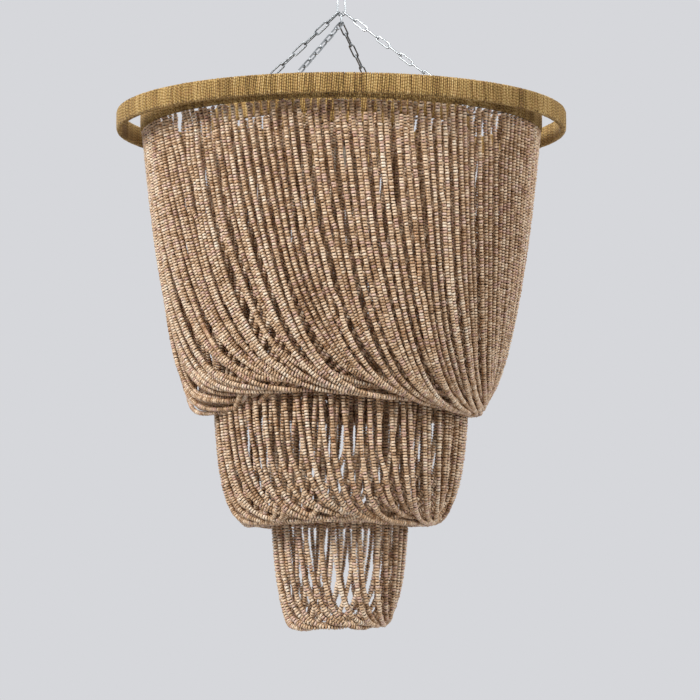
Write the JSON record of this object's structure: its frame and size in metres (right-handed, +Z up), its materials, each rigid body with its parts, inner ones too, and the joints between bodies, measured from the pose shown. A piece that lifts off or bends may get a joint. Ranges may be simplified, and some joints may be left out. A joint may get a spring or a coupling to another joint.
{
  "type": "beaded chandelier",
  "caption": "Tiered chandelier: curtains of bead strands on twine-wrapped hoops, hung by chains from a link and an S-hook, with a lampholder and bulb inside.",
  "frame": {"origin": "seat of the S-hook's upper bow, the point that rests on whatever holds the chandelier up", "axes": "+Z up along the chandelier's axis, -Y towards the viewer of the front, +X to that viewer's right"},
  "size_m": [0.449, 0.449, 0.6796],
  "materials": {
    "zinc": "satin",
    "frame_steel": "matte",
    "twine": "matte",
    "beads": "satin",
    "black_plastic": "satin",
    "ceramic": "gloss",
    "brass": "satin",
    "nickel": "satin",
    "opal_glass": "satin"
  },
  "bodies": {
    "hook": {"s_hook": "zinc"},
    "link": {"hanging_link": "zinc"},
    "chandelier": {"gather_link": "zinc", "chain_far_right_1": "zinc", "chain_far_right_2": "zinc", "chain_far_right_3": "zinc", "chain_far_right_4": "zinc", "chain_far_right_5": "zinc", "chain_far_right_6": "zinc", "chain_far_left_1": "zinc", "chain_far_left_2": "zinc", "chain_far_left_3": "zinc", "chain_far_left_4": "zinc", "chain_far_left_5": "zinc", "chain_far_left_6": "zinc", "chain_near_left_1": "zinc", "chain_near_left_2": "zinc", "chain_near_left_3": "zinc", "chain_near_left_4": "zinc", "chain_near_left_5": "zinc", "chain_near_left_6": "zinc", "chain_near_right_1": "zinc", "chain_near_right_2": "zinc", "chain_near_right_3": "zinc", "chain_near_right_4": "zinc", "chain_near_right_5": "zinc", "chain_near_right_6": "zinc", "outer_hoop_bar": "frame_steel", "tier_1_hoop_bar": "frame_steel", "tier_2_hoop_bar": "frame_steel", "tier_3_hoop_bar": "frame_steel", "spoke_far_right": "frame_steel", "spoke_far_left": "frame_steel", "spoke_near_left": "frame_steel", "spoke_near_right": "frame_steel", "eye_far_right": "frame_steel", "eye_far_left": "frame_steel", "eye_near_left": "frame_steel", "eye_near_right": "frame_steel", "hub_ring": "frame_steel", "outer_hoop_wrap": "twine", "tier_1_hoop_wrap": "twine", "tier_2_hoop_wrap": "twine", "tier_3_hoop_wrap": "twine", "tier_1_strands": "beads", "tier_2_strands": "beads", "tier_3_strands": "beads", "lampholder_skirt": "black_plastic", "shade_ring": "black_plastic", "lampholder_cap": "black_plastic", "cord_grip": "black_plastic", "lampholder_insert": "ceramic", "screw_shell": "brass"},
    "bulb": {"bulb_cap": "nickel", "bulb_glass": "opal_glass"}
  },
  "joints": [
    {"name": "link_swing", "type": "hinge", "parent": "hook", "child": "link", "pos_m": [0, 0, -0.0415], "axis": [0, 1, 0], "range_deg": [-30, 30]},
    {"name": "chandelier_swing", "type": "hinge", "parent": "link", "child": "chandelier", "pos_m": [0, 0, -0.0628], "axis": [1, 0, 0], "range_deg": [-15, 15]},
    {"name": "bulb_screw", "type": "hinge", "parent": "chandelier", "child": "bulb", "pos_m": [0, 0, -0.2], "axis": [0, 0, 1], "range_deg": [-1440, 0]}
  ]
}
